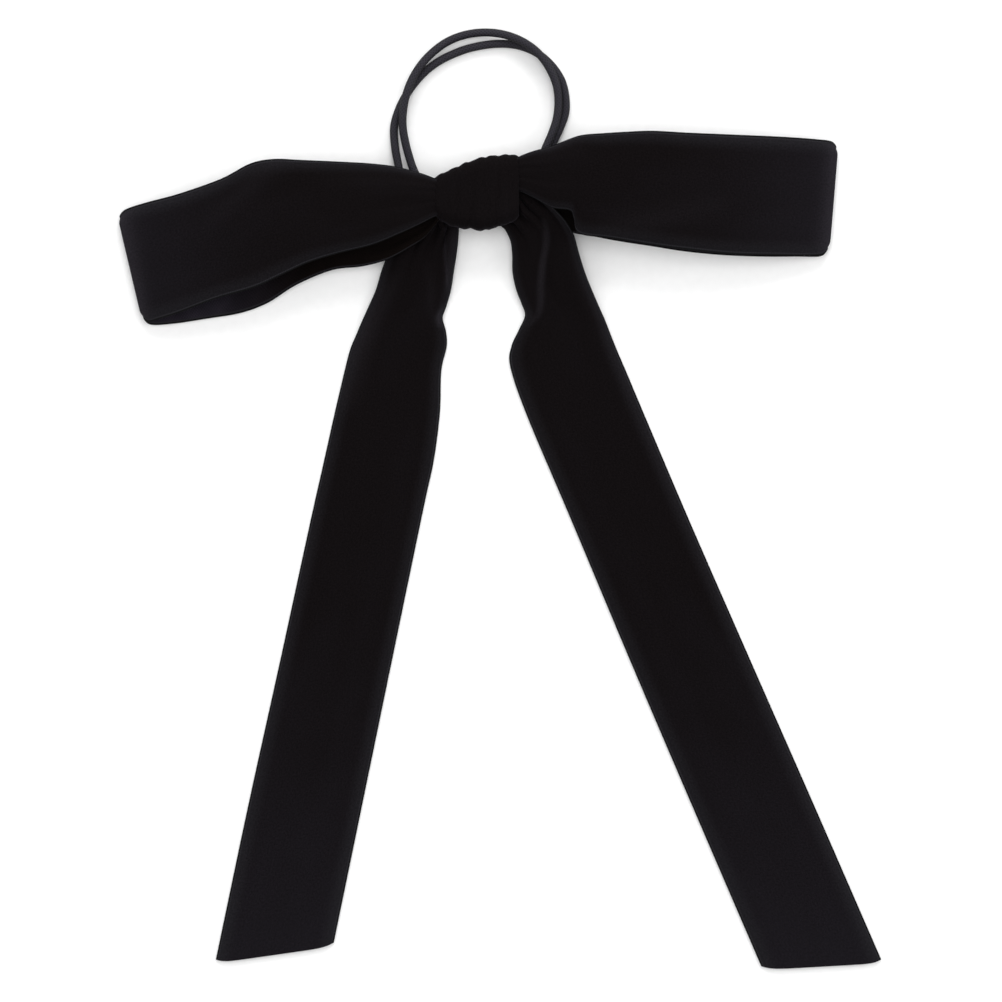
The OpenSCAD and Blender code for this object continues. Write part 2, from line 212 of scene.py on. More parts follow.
# The outermost thread painted near black as shade
painted_edge_shade = add_node(tree, "ShaderNodeMix", {"data_type": "RGBA"}, {
    0: outermost.outputs[0], 6: pick_colour.outputs[2], 7: linear("#070708")})
tree.links.new(painted_edge_shade.outputs[2], shader.inputs["Base Color"])
pick_bump = add_node(tree, "ShaderNodeBump", {}, {
    "Height": picks.outputs["Fac"], "Strength": 0.5, "Distance": 0.0001})
tree.links.new(pick_bump.outputs[0], shader.inputs["Normal"])
shader.inputs["Roughness"].default_value = 0.6
shader.inputs["Specular IOR Level"].default_value = 0.06

# Braided polyester cover over a rubber core: eight strands each way make small leaning diamonds,
# a little lighter than the velvet with a soft thread shine.
strands_round = 8
braid, tree, shader = new_material("braided polyester cover")
uv = add_node(tree, "ShaderNodeUVMap", {"uv_map": "cord"})
at = add_node(tree, "ShaderNodeSeparateXYZ", {}, {"Vector": uv.outputs["UV"]})
leaning_left = add_node(tree, "ShaderNodeMath", {"operation": "ADD"}, {
    0: at.outputs["X"], 1: at.outputs["Y"]})
leaning_right = add_node(tree, "ShaderNodeMath", {"operation": "SUBTRACT"}, {
    0: at.outputs["X"], 1: at.outputs["Y"]})
left_turn = add_node(tree, "ShaderNodeMath", {"operation": "MULTIPLY"}, {
    0: leaning_left.outputs[0], 1: 2 * math.pi})
right_turn = add_node(tree, "ShaderNodeMath", {"operation": "MULTIPLY"}, {
    0: leaning_right.outputs[0], 1: 2 * math.pi})
left_wave = add_node(tree, "ShaderNodeMath", {"operation": "SINE"}, {0: left_turn.outputs[0]})
right_wave = add_node(tree, "ShaderNodeMath", {"operation": "SINE"}, {0: right_turn.outputs[0]})
strand = add_node(tree, "ShaderNodeMath", {"operation": "MAXIMUM"}, {
    0: left_wave.outputs[0], 1: right_wave.outputs[0]})
strand_share = add_node(tree, "ShaderNodeMapRange", {}, {
    "Value": strand.outputs[0], "From Min": -0.6, "From Max": 1.0})
strand_colour = add_node(tree, "ShaderNodeMix", {"data_type": "RGBA"}, {
    0: strand_share.outputs[0], 6: linear("#121116"), 7: linear("#29272f")})
# The sides are painted darker than the top and bottom, as shade. Once round the cord is as many pattern steps
# as strands.
round_turn = add_node(tree, "ShaderNodeMath", {"operation": "MULTIPLY"}, {
    0: at.outputs["X"], 1: 2 * math.pi / strands_round})
sideways = add_node(tree, "ShaderNodeMath", {"operation": "COSINE"}, {0: round_turn.outputs[0]})
sideways = add_node(tree, "ShaderNodeMath", {"operation": "ABSOLUTE"}, {0: sideways.outputs[0]})
side_share = add_node(tree, "ShaderNodeMapRange", {}, {
    "Value": sideways.outputs[0], "From Min": 0.5, "From Max": 0.95, "To Max": 0.8})
painted_side_shade = add_node(tree, "ShaderNodeMix", {"data_type": "RGBA"}, {
    0: side_share.outputs[0], 6: strand_colour.outputs[2], 7: linear("#08070a")})
tree.links.new(painted_side_shade.outputs[2], shader.inputs["Base Color"])
strand_bump = add_node(tree, "ShaderNodeBump", {}, {
    "Height": strand_share.outputs[0], "Strength": 0.7, "Distance": 0.0002})
tree.links.new(strand_bump.outputs[0], shader.inputs["Normal"])
shader.inputs["Roughness"].default_value = 0.62
shader.inputs["Specular IOR Level"].default_value = 0.2

# Twisted polyester sewing thread: two plies laid together give fine slanting ribs and a slight shine.
thread, tree, shader = new_material("twisted polyester thread")
place = add_node(tree, "ShaderNodeTexCoord")
# The plies turn once in about 0.5 mm; their ribs are drawn about 3 mm apart so that they show.
plies = add_node(tree, "ShaderNodeTexWave", {"bands_direction": "DIAGONAL"}, {
    "Vector": place.outputs["Object"], "Scale": 200.0, "Distortion": 0.5})
ply_colour = add_node(tree, "ShaderNodeMix", {"data_type": "RGBA"}, {
    0: plies.outputs["Fac"], 6: linear("#141416"), 7: linear("#29292d")})
tree.links.new(ply_colour.outputs[2], shader.inputs["Base Color"])
ply_bump = add_node(tree, "ShaderNodeBump", {}, {
    "Height": plies.outputs["Fac"], "Strength": 0.4, "Distance": 0.00005})
tree.links.new(ply_bump.outputs[0], shader.inputs["Normal"])
shader.inputs["Roughness"].default_value = 0.5
shader.inputs["Specular IOR Level"].default_value = 0.3

# Black-nickelled steel, as crimped: a dark tube with faint scratches round it.
nickel, tree, shader = new_material("black nickelled crimped steel")
place = add_node(tree, "ShaderNodeTexCoord")
scratch_place = add_node(tree, "ShaderNodeMapping", {}, {
    "Vector": place.outputs["Object"], "Scale": (1 / 0.0001, 1 / 0.003, 1 / 0.003)})
scratches = add_node(tree, "ShaderNodeTexNoise", {}, {
    "Vector": scratch_place.outputs[0], "Scale": 1.0, "Detail": 2.0})
nickel_colour = add_node(tree, "ShaderNodeMix", {"data_type": "RGBA"}, {
    0: scratches.outputs["Fac"], 6: linear("#4a4a4d"), 7: linear("#6a6a6e")})
tree.links.new(nickel_colour.outputs[2], shader.inputs["Base Color"])
nickel_roughness = add_node(tree, "ShaderNodeMapRange", {}, {
    "Value": scratches.outputs["Fac"], "To Min": 0.25, "To Max": 0.5})
tree.links.new(nickel_roughness.outputs[0], shader.inputs["Roughness"])
shader.inputs["Metallic"].default_value = 1.0


# ---------------------------------------------------------------- shapes from rows of points

def smooth_curve(points, steps):
    """A smooth line through the points, with that many steps in each stretch."""
    points = np.array(points, float)
    last = len(points) - 1
    line = []
    for i in range(last):
        a, b, c, d = points[max(i - 1, 0)], points[i], points[i + 1], points[min(i + 2, last)]
        for k in range(steps):
            t = k / steps
            line.append(0.5 * (2 * b + (c - a) * t + (2 * a - 5 * b + 4 * c - d) * t * t
                               + (3 * b - a - 3 * c + d) * t ** 3))
    line.append(points[last])
    return np.array(line)


def unit(vectors):
    """The vectors at length one."""
    return vectors / np.maximum(np.linalg.norm(vectors, axis=-1, keepdims=True), 1e-9)


# The velvet and the backing turn greyer from 40 mm to 110 mm out from the knot: painted shade near the
# knot, painted sheen and light further out. Below the loops the way down a tail counts instead, at about
# half.
grey_from = 40
grey_over = 70
tails_start_y = -42
tail_share = 0.47


def finish_mesh(name, points, faces, corners, uv_name, materials, face_materials, angle, bend_sheen=None):
    """A closed piece from points in millimetres.
    corners: the pattern's place at each face's corners. face_materials: a number for each face.
    angle: edges sharper than this stay sharp. The last argument gives how much sheen is painted along the
    bends at each point.
    The piece also keeps how far out each point is, towards a fold or a cut end."""
    points = np.array(points)
    mesh = bpy.data.meshes.new(name)
    mesh.from_pydata([tuple(p) for p in points * MM], [], faces)
    layer = mesh.uv_layers.new(name=uv_name)
    layer.data.foreach_set("uv", np.array([place for face in corners for place in face], float).ravel())
    # How far out each point is sets the painted shade near the knot and the painted sheen and light further
    # out
    reach = np.where(points[:, 1] > tails_start_y, np.abs(points[:, 0]), -tail_share * points[:, 1])
    outwards_here = mesh.attributes.new("outwards", "FLOAT", "POINT")
    outwards_here.data.foreach_set("value", np.clip((reach - grey_from) / grey_over, 0, 1) ** 2)
    if bend_sheen is not None:
        bend_sheen_here = mesh.attributes.new("bend_sheen", "FLOAT", "POINT")
        bend_sheen_here.data.foreach_set("value", np.clip(bend_sheen, 0, 1))
    for material in materials:
        mesh.materials.append(material)
    mesh.polygons.foreach_set("material_index", face_materials)
    piece = bpy.data.objects.new(name, mesh)
    bpy.context.scene.collection.objects.link(piece)
    bpy.ops.object.select_all(action="DESELECT")
    bpy.context.view_layer.objects.active = piece
    piece.select_set(True)
    bpy.ops.object.mode_set(mode="EDIT")
    bpy.ops.mesh.select_all(action="SELECT")
    bpy.ops.mesh.normals_make_consistent(inside=False)
    bpy.ops.object.mode_set(mode="OBJECT")
    bpy.ops.object.shade_smooth_by_angle(angle=math.radians(angle))
    return piece


# Shares of the ribbon's width: close together at the edges, where the pile gives way to selvedge
ACROSS = np.array([0, 0.012, 0.024, 0.036, 0.05, 0.07, 0.1] + [0.1 + 0.8 * k / 48 for k in range(1, 48)]
                  + [0.9, 0.93, 0.95, 0.964, 0.976, 0.988, 1.0])
pile_height = 0.62
backing_height = 0.34
selvedge_width = 1.0
sharp_angle = 50


def ribbon_grid(rows, steps, side, crown, pleats, creases):
    """The middle layer of a ribbon between two edges, whose points are in the rows.
    side: 1 or -1, the side that the pile is on. crown: height of the swell across the middle, at each row.
    pleats: (height, count, shift) at each row.
    creases: (first row, share across, last row, share across, half width, height, painted sheen).
    It returns the points, the unit normals on the pile side, the distance along the ribbon at each row,
    and how much sheen is painted along the creases at each point, from 0 to 1."""
    fine = smooth_curve([list(r[:6]) for r in rows], steps)
    a, b = fine[:, :3], fine[:, 3:6]
    index = np.arange(len(fine)) / steps
    crown_here = np.interp(index, range(len(rows)), crown)
    pleat_height = np.interp(index, range(len(rows)), [p[0] for p in pleats])
    pleat_count = np.interp(index, range(len(rows)), [p[1] for p in pleats])
    pleat_shift = np.interp(index, range(len(rows)), [p[2] for p in pleats])
    t = ACROSS[None, :]
    points = a[:, None, :] * (1 - t[..., None]) + b[:, None, :] * t[..., None]
    along = unit(np.gradient(points, axis=0))
    across = unit((b - a)[:, None, :] * np.ones_like(points))
    out = unit(np.cross(across, along)) * side
    width = np.linalg.norm(b - a, axis=1)[:, None]
    height = crown_here[:, None] * (1 - (2 * t - 1) ** 2)
    wave = np.sin(2 * math.pi * (pleat_count[:, None] * t + pleat_shift[:, None]))
    wave = wave + 0.45 * np.sin(2 * math.pi * (pleat_count[:, None] * 1.7 * t - pleat_shift[:, None] + 0.3))
    height = height + pleat_height[:, None] * wave
    # How much sheen is painted along the creases at each point
    bend_sheen = np.zeros(height.shape)
    for first, from_share, last, to_share, half_width, lift, crease_sheen in creases:
        share = np.clip((index - first) / (last - first), 0, 1)[:, None]
        centre = from_share + (to_share - from_share) * share
        within = ((index >= first) & (index <= last))[:, None]
        fade = np.sin(math.pi * np.clip(share, 0.001, 0.999)) ** 0.6 * within
        ridge = fade * np.exp(-(((t - centre) * width) / half_width) ** 2)
        height = height + lift * ridge
        bend_sheen = bend_sheen + crease_sheen * ridge
    points = points + out * height[..., None]
    normals = unit(np.cross(np.gradient(points, axis=1), np.gradient(points, axis=0))) * side
    middle_line = (a + b) / 2
    distance = np.concatenate([[0], np.cumsum(np.linalg.norm(np.diff(middle_line, axis=0), axis=1))])
    return points, normals, distance, bend_sheen


# Places of the three materials on a ribbon piece
PILE, BACKING, SELVEDGE = 0, 1, 2


def ribbon_piece(name, points, normals, distance, bend_sheen, pressed=1.0):
    """A closed ribbon: pile on the side of its normals, backing on the other, selvedges at both edges.
    pressed: the share of its thickness that is left where it is squeezed."""
    rows, columns = points.shape[:2]
    edge_gap = np.minimum(ACROSS, 1 - ACROSS) * ribbon_width
    pile = np.interp(edge_gap, [0, selvedge_width - 0.1, selvedge_width + 0.3, 2.4], [0.06, 0.1, 0.6, 1.0])
    pile = pile * pile_height * pressed
    back = np.interp(edge_gap, [0, 0.4], [0.7, 1.0]) * backing_height * pressed
    front_points = points + normals * pile[None, :, None]
    back_points = points - normals * back[None, :, None]
    vertices = np.concatenate([front_points.reshape(-1, 3), back_points.reshape(-1, 3)])
    behind = rows * columns
    place = [(ACROSS[j] * ribbon_width, distance[i]) for i in range(rows) for j in range(columns)] * 2
    faces, kinds = [], []
    for i in range(rows - 1):
        for j in range(columns - 1):
            here = i * columns + j
            faces.append((here, here + 1, here + columns + 1, here + columns))
            at_edge = max(edge_gap[j], edge_gap[j + 1]) < selvedge_width
            kinds.append(SELVEDGE if at_edge else PILE)
            back_here = behind + here
            faces.append((back_here + columns, back_here + columns + 1, back_here + 1, back_here))
            kinds.append(SELVEDGE if at_edge else BACKING)
        for here in (i * columns, i * columns + columns - 1):
            faces.append((here, here + columns, behind + here + columns, behind + here))
            kinds.append(SELVEDGE)
    for j in range(columns - 1):
        for here in (j, (rows - 1) * columns + j):
            faces.append((here, here + 1, behind + here + 1, behind + here))
            kinds.append(SELVEDGE)
    corners = [[place[v] for v in face] for face in faces]
    return finish_mesh(name, vertices, faces, corners, "ribbon", [velvet, backing, selvedge], kinds,
                       sharp_angle, np.tile(bend_sheen.ravel(), 2))


# ---------------------------------------------------------------- the elastic
# Two turns, each through the knot and round the ring

elastic_diameter = 2.4
swing_y = -2.5
swing_z = 4.15
strand_gap = 1.4
cord_z = elastic_diameter / 2 + 0.02
ring_centre = (1.04, 22.2)
# [angle, radius, z] round the middle of the ring
FIRST_RING = [
    [-20, 22.7, 1.6], [4, 25.2, cord_z], [26, 26.5, cord_z], [48, 25.75, cord_z], [68, 23.8, cord_z],
    [90, 21.6, cord_z], [112, 20.8, cord_z], [136, 21.4, cord_z], [162, 23.1, cord_z], [186, 25.8, 1.3],
    [210, 28.1, 2.2]]
SECOND_RING = [
    [-24, 21.2, 3.9], [0, 22.6, 3.0], [24, 24.6, 3.0], [48, 25.75, 3.85], [70, 25.85, 3.2],
    [92, 25.45, 1.5], [114, 24.8, 1.4], [138, 23.7, 3.1], [162, 23.1, 3.85], [186, 23.2, 2.8],
    [210, 24.2, 2.4]]
FIRST_OUT = [[17.6, -0.9, 3.5], [20.9, 6.6, 2.3]]
FIRST_BACK = [[-21.6, 1.8, 3.4], [-17.8, -2.6, 4.0]]
SECOND_OUT = [[15.8, 2.2, 4.2], [18.4, 8.0, 4.15]]
SECOND_BACK = [[-18.0, 5.2, 3.2], [-15.9, 0.9, 4.0]]
strand_end_x = 12.8
swap_from, swap_to = -9, 3.5
ferrule_x = 6.7
cord_end_gap = 0.2


def strand_point(x, side, turned):
    """A point on one of the two strands in the knot: side is -1 for the low one."""
    sideways = side * strand_gap * math.cos(math.radians(turned))
    down = side * strand_gap * math.sin(math.radians(turned))
    return [x, swing_y + sideways, swing_z - down]


def elastic_turn(side, out, ring, back):
    """One turn of the elastic from the knot's right end round the ring to its left end."""
    middle_x, middle_y = ring_centre
    over = [[middle_x + r * math.cos(math.radians(a)), middle_y + r * math.sin(math.radians(a)), z]
            for a, r, z in ring]
    start, end = strand_point(strand_end_x, side, 0), strand_point(-strand_end_x, side, 0)
    return smooth_curve([start] + out + over + back + [end], 2).tolist()


def elastic_swap(side):
    """The half twist that takes a strand over to the other's place inside the knot."""
    return [strand_point(swap_from + (swap_to - swap_from) * k / 4, side, 45 * k) for k in range(5)]


route = ([strand_point(ferrule_x + cord_end_gap / 2, -1, 0)]
         + elastic_turn(-1, FIRST_OUT, FIRST_RING, FIRST_BACK) + elastic_swap(-1)
         + elastic_turn(1, SECOND_OUT, SECOND_RING, SECOND_BACK) + elastic_swap(1)
         + [strand_point(ferrule_x - cord_end_gap / 2, -1, 0)])
fine_route = smooth_curve(route, 6)
stretches = np.linalg.norm(np.diff(fine_route, axis=0), axis=1)
travelled = np.concatenate([[0], np.cumsum(stretches)])

# The round cover, of 20 sides
cord_sides = 20
along = unit(np.gradient(fine_route, axis=0))
side_way = unit(np.cross([0, 0, 1], along))
up_way = np.cross(along, side_way)
turn = 2 * math.pi * np.arange(cord_sides) / cord_sides
spokes = side_way[:, None, :] * np.cos(turn)[None, :, None] + up_way[:, None, :] * np.sin(turn)[None, :, None]
rings = fine_route[:, None, :] + elastic_diameter / 2 * spokes
cord_points = np.concatenate([rings.reshape(-1, 3), fine_route[[0, -1]]])
count = len(fine_route)
# A strand of the cover goes once round the cord in 9 mm.
cover_pitch = 9.0
cord_faces, cord_corners = [], []
for i in range(count - 1):
    for s in range(cord_sides):
        n = (s + 1) % cord_sides
        ring, next_ring = i * cord_sides, (i + 1) * cord_sides
        cord_faces.append((ring + s, ring + n, next_ring + n, next_ring + s))
        u0, u1 = s / cord_sides * strands_round, (s + 1) / cord_sides * strands_round
        v0, v1 = travelled[i] / cover_pitch * strands_round, travelled[i + 1] / cover_pitch * strands_round
        cord_corners.append([(u0, v0), (u1, v0), (u1, v1), (u0, v1)])
last_ring = (count - 1) * cord_sides
for s in range(cord_sides):
    n = (s + 1) % cord_sides
    cord_faces.append((n, s, count * cord_sides))
    cord_faces.append((last_ring + s, last_ring + n, count * cord_sides + 1))
    cord_corners += [[(0, 0), (1, 0), (0.5, 1)]] * 2
elastic = finish_mesh("elastic_braid", cord_points, cord_faces, cord_corners, "cord", [braid],
                      [0] * len(cord_faces), 60)
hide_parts("elastic_cord")
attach(elastic, "elastic")


# ---------------------------------------------------------------- the loops

# Pleats across the ribbon where it comes out of the knot
pleats_across = 4.5
# Rows of one long strip: the front panel outwards, the outer fold and the back panel inwards.
# [upper edge x, y, z, lower edge x, y, z, crown, pleat height]
LEFT_LOOP = [
    [-9.0, 2.6, 10.6, -9.0, -6.0, 10.4, 0.0, 0.06],
    [-12.9, 4.3, 11.3, -12.9, -7.4, 10.9, 0.7, 0.07],
    [-17.1, 5.8, 12.0, -17.2, -9.6, 11.1, 1.0, 0.06],
    [-24.2, 7.6, 12.6, -23.0, -12.3, 11.7, 1.3, 0.04],
    [-32.0, 8.5, 13.0, -31.0, -15.6, 12.1, 1.4, 0.02],
    [-41.0, 9.0, 13.0, -41.0, -18.1, 12.1, 1.3, 0],
    [-52.0, 9.5, 12.8, -50.0, -20.9, 12.0, 1.1, 0],
    [-60.0, 9.8, 12.2, -58.0, -24.6, 11.3, 0.9, 0],
    [-67.0, 8.5, 11.2, -66.0, -28.2, 10.3, 0.7, 0],
    [-75.6, 4.1, 9.5, -77.5, -31.5, 8.6, 0.5, 0],
    [-88.0, -0.2, 7.2, -88.0, -35.4, 6.5, 0.3, 0],
    [-98.0, -2.8, 5.1, -93.8, -37.2, 4.8, 0.2, 0],
    [-104.2, -4.8, 3.5, -97.2, -38.1, 3.3, 0.1, 0],
    [-106.0, -6.8, 2.1, -98.9, -37.0, 2.0, 0.0, 0],
    [-104.2, -5.0, 0.75, -96.8, -38.9, 0.75, 0.0, 0],
    [-96.0, -3.2, 0.65, -90.0, -38.6, 0.65, 0.0, 0],
    [-84.0, 0.3, 0.65, -80.0, -37.1, 0.65, 0.0, 0],
    [-72.0, 5.0, 0.65, -70.0, -35.4, 0.65, 0.0, 0],
    [-62.0, 8.0, 0.85, -62.0, -32.4, 0.85, 0.0, 0],
    [-52.0, 8.2, 1.7, -53.5, -27.1, 1.7, 0.2, 0],
    [-42.0, 7.8, 3.0, -43.0, -22.8, 2.9, 0.3, 0.05],
    [-33.0, 7.0, 4.4, -34.0, -21.7, 4.1, 0.4, 0.15],
    [-25.0, 6.0, 5.9, -26.5, -19.7, 5.4, 0.4, 0.3],
    [-18.0, 4.6, 7.5, -19.5, -15.8, 6.8, 0.3, 0.35],
    [-13.3, 3.2, 8.7, -15.0, -12.6, 7.9, 0.2, 0.3],
    [-9.0, 2.2, 9.6, -9.8, -5.8, 9.2, 0.0, 0.3]]
RIGHT_LOOP = [
    [9.5, 8.8, 10.8, 9.5, 0.2, 10.5, 0.0, 0.06],
    [12.6, 10.6, 11.5, 12.6, 0.2, 11.1, 0.7, 0.07],
    [16.5, 12.1, 12.1, 17.0, -1.8, 11.3, 1.0, 0.06],
    [22.0, 13.6, 12.8, 22.3, -4.6, 11.9, 1.3, 0.04],
    [28.6, 16.2, 13.1, 27.4, -5.4, 11.9, 1.4, 0.02],
    [32.2, 17.0, 13.2, 28.6, -7.8, 11.5, 1.5, 0],
    [36.2, 17.3, 13.3, 30.2, -12.2, 11.2, 1.4, 0],
    [44.0, 17.8, 13.2, 39.6, -13.6, 11.5, 1.2, 0],
    [52.0, 18.1, 12.9, 51.0, -15.5, 11.7, 1.0, 0],
    [62.0, 17.6, 11.9, 61.0, -16.8, 11.0, 0.8, 0],
    [76.0, 17.1, 9.8, 75.0, -18.2, 9.2, 0.5, 0],
    [90.0, 16.6, 7.2, 88.0, -18.5, 6.7, 0.3, 0],
    [100.0, 16.0, 4.8, 97.0, -18.6, 4.6, 0.2, 0],
    [105.0, 15.4, 3.3, 102.4, -18.2, 3.2, 0.1, 0],
    [106.5, 13.8, 2.1, 104.0, -16.4, 2.0, 0.0, 0],
    [105.0, 15.4, 0.75, 102.0, -18.6, 0.75, 0.0, 0],
    [98.0, 16.0, 0.65, 95.0, -18.7, 0.65, 0.0, 0],
    [86.0, 16.6, 0.65, 84.0, -18.7, 0.65, 0.0, 0],
    [74.0, 16.8, 0.65, 72.0, -18.2, 0.65, 0.0, 0],
    [62.0, 16.8, 0.95, 61.0, -17.1, 0.9, 0.0, 0],
    [52.0, 16.4, 1.9, 52.0, -15.7, 1.8, 0.2, 0],
    [42.0, 15.2, 3.2, 42.0, -14.2, 3.0, 0.3, 0.05],
    [33.0, 13.6, 4.6, 34.0, -12.7, 4.2, 0.4, 0.15],
    [25.0, 11.9, 6.0, 27.0, -11.2, 5.5, 0.4, 0.3],
    [18.0, 10.4, 7.1, 19.6, -5.4, 6.6, 0.3, 0.45],
    [13.4, 9.2, 7.9, 13.6, -1.0, 7.4, 0.2, 0.5],
    [9.5, 8.0, 8.9, 9.5, 0.4, 8.6, 0.0, 0.4]]
# Soft folds that run out from the knot, and the slack of the panels
LEFT_CREASES = [
    (0.6, 0.30, 5.5, 0.22, 3.0, 0.4, 0.02), (0.6, 0.62, 4.6, 0.55, 3.0, -0.3, 0),
    (0.8, 0.82, 6.0, 0.9, 3.0, 0.3, 0), (6.2, 0.0, 9.5, 0.35, 4.0, 0.5, 0.05),
    (19.5, 0.7, 24.4, 0.66, 2.4, 0.5, 0), (20.0, 0.3, 24.4, 0.35, 2.0, -0.4, 0)]
RIGHT_CREASES = [
    (0.6, 0.26, 5.2, 0.16, 3.0, 0.4, 0.02), (0.6, 0.55, 4.8, 0.48, 3.0, -0.3, 0),
    (0.7, 0.8, 5.6, 0.86, 3.0, 0.2, 0), (6.5, 0.95, 10.0, 0.6, 4.0, 0.4, 0.05),
    (20.5, 0.7, 25.4, 0.66, 2.4, 0.5, 0), (21.0, 0.3, 25.4, 0.35, 2.0, -0.4, 0)]
row_steps = 6
# How much sheen is painted over the outer fold, and how far from it
fold_sheen = 0.28
fold_half_width = 3.5

# [name, rows, side the pile is on, creases, row of the outer fold, where the knot's hold starts and ends]
for name, rows, pile_side, creases, fold_row, hold_from, hold_to in (
        ("left_loop", LEFT_LOOP, -1, LEFT_CREASES, 13, (-0.0125, 0, 0), (-0.034, 0, 0)),
        ("right_loop", RIGHT_LOOP, 1, RIGHT_CREASES, 14, (0.0122, 0, 0), (0.034, 0, 0))):
    crown = [r[6] for r in rows]
    pleats = [(r[7], pleats_across, 0.1 + 0.02 * k) for k, r in enumerate(rows)]
    points, normals, distance, bend_sheen = ribbon_grid(rows, row_steps, pile_side, crown, pleats, creases)
    from_fold = distance - distance[fold_row * row_steps]
    bend_sheen = bend_sheen + fold_sheen * np.exp(-(from_fold / fold_half_width) ** 2)[:, None]
    loop = ribbon_piece(name + "_ribbon", points, normals, distance, bend_sheen)
    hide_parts(name)
    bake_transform(loop)


# ---------------------------------------------------------------- the tails

# Rows from inside the knot to the cut end:
# [outer edge x, y, z, inner edge x, y, z, crown, pleat height]
LEFT_TAIL = [
    [-10.4, 1.2, 8.5, -9.6, -4.6, 8.3, 0.0, 0.4],
    [-13.6, -1.6, 8.0, -11.2, -6.2, 7.2, 0.0, 0.6],
    [-16.2, -6.6, 6.2, -8.2, -8.4, 4.8, 0.2, 1.0],
    [-19.4, -9.4, 4.5, -5.6, -9.8, 3.6, 0.4, 1.0],
    [-22.8, -13.0, 3.2, -5.5, -13.2, 2.8, 0.6, 0.45],
    [-26.0, -17.4, 2.4, -6.0, -17.8, 2.4, 0.7, 0.15],
    [-28.2, -22.5, 1.8, -6.8, -22.8, 2.0, 0.6, 0.08],
    [-30.0, -28.5, 1.3, -7.7, -28.6, 1.6, 0.4, 0.05],
    [-32.5, -34.2, 0.9, -9.2, -33.8, 1.2, 0.25, 0.04],
    [-34.3, -38.2, 0.8, -10.2, -36.9, 1.0, 0.2, 0.04],
    [-35.9, -42.0, 0.65, -9.2, -41.0, 0.8, 0.2, 0.02],
    [-37.7, -46.4, 0.65, -9.0, -45.4, 0.7, 0.15, 0],
    [-39.5, -53.4, 0.65, -10.6, -52.6, 0.65, 0.1, 0],
    [-42.5, -66.2, 0.65, -11.0, -64.8, 0.65, 0.0, 0],
    [-45.8, -81.0, 0.65, -12.8, -79.0, 0.65, 0.0, 0],
    [-49.4, -97.0, 0.65, -15.8, -93.0, 0.65, 0.0, 0],
    [-58.3, -138.0, 0.65, -24.1, -133.0, 0.65, 0.0, 0],
    [-68.0, -182.0, 0.65, -33.8, -180.0, 0.65, 0.0, 0],
    [-77.5, -227.2, 0.65, -42.5, -222.2, 0.65, 0.0, 0]]
RIGHT_TAIL = [
    [9.8, 3.2, 9.0, 8.8, -4.4, 8.4, 0.0, 0.4],
    [13.2, 2.2, 9.4, 10.4, -6.2, 7.4, 0.0, 0.65],
    [16.4, 0.6, 9.7, 8.4, -8.4, 5.6, 0.2, 0.95],
    [19.6, -1.6, 9.6, 6.8, -9.6, 4.6, 0.4, 0.95],
    [22.9, -4.5, 8.9, 8.3, -11.2, 3.8, 0.6, 0.45],
    [26.2, -8.2, 7.8, 9.9, -14.4, 3.3, 0.7, 0.2],
    [28.7, -12.4, 6.2, 10.4, -18.6, 2.9, 0.7, 0.1],
    [30.3, -18.0, 4.9, 10.5, -23.4, 2.4, 0.6, 0.06],
    [32.3, -24.2, 3.4, 11.6, -28.6, 1.9, 0.4, 0.04],
    [35.1, -31.0, 2.0, 13.3, -33.0, 1.4, 0.3, 0.04],
    [38.0, -37.6, 1.1, 14.2, -36.2, 1.1, 0.2, 0.04],
    [39.8, -42.2, 0.8, 12.4, -40.4, 0.8, 0.15, 0.02],
    [41.9, -47.4, 0.65, 10.1, -45.6, 0.65, 0.1, 0],
    [44.4, -53.2, 0.65, 9.9, -51.6, 0.65, 0.0, 0],
    [50.8, -68.4, 0.65, 15.0, -66.4, 0.65, 0.0, 0],
    [63.4, -98.0, 0.65, 28.0, -97.0, 0.65, 0.0, 0],
    [81.5, -139.4, 0.65, 45.6, -139.0, 0.65, 0.0, 0],
    [100.4, -182.4, 0.65, 64.4, -183.0, 0.65, 0.0, 0],
    [119.9, -227.2, 0.65, 84.3, -229.2, 0.65, 0.0, 0]]
LEFT_TAIL_CREASES = [
    (2.8, 0.7, 7.0, 0.95, 0.5, -0.5, 0.35), (2.8, 0.86, 7.4, 1.0, 1.5, 0.3, 0.12),
    (3.0, 0.25, 11.5, 0.16, 2.0, 0.4, 0), (5.5, 0.6, 10.0, 0.97, 1.6, 0.4, 0.03),
    (7.8, 0.96, 9.8, 0.95, 0.7, 0.4, 0.25), (6.0, 0.1, 13.0, 0.1, 3.6, 0.3, 0.12)]
RIGHT_TAIL_CREASES = [
    (4.2, 0.27, 10.8, 0.93, 0.9, 0.6, 0.16), (4.2, 0.15, 10.4, 0.78, 1.8, -0.4, 0),
    (5.0, 0.05, 12.0, 0.35, 2.6, 0.4, 0), (9.4, 1.0, 13.0, 0.78, 1.6, 0.4, 0),
    (6.0, 0.04, 15.0, 0.05, 2.6, 0.2, 0.06)]
# How far the middle of the cut end stands out past its corners
end_bow = 1.2

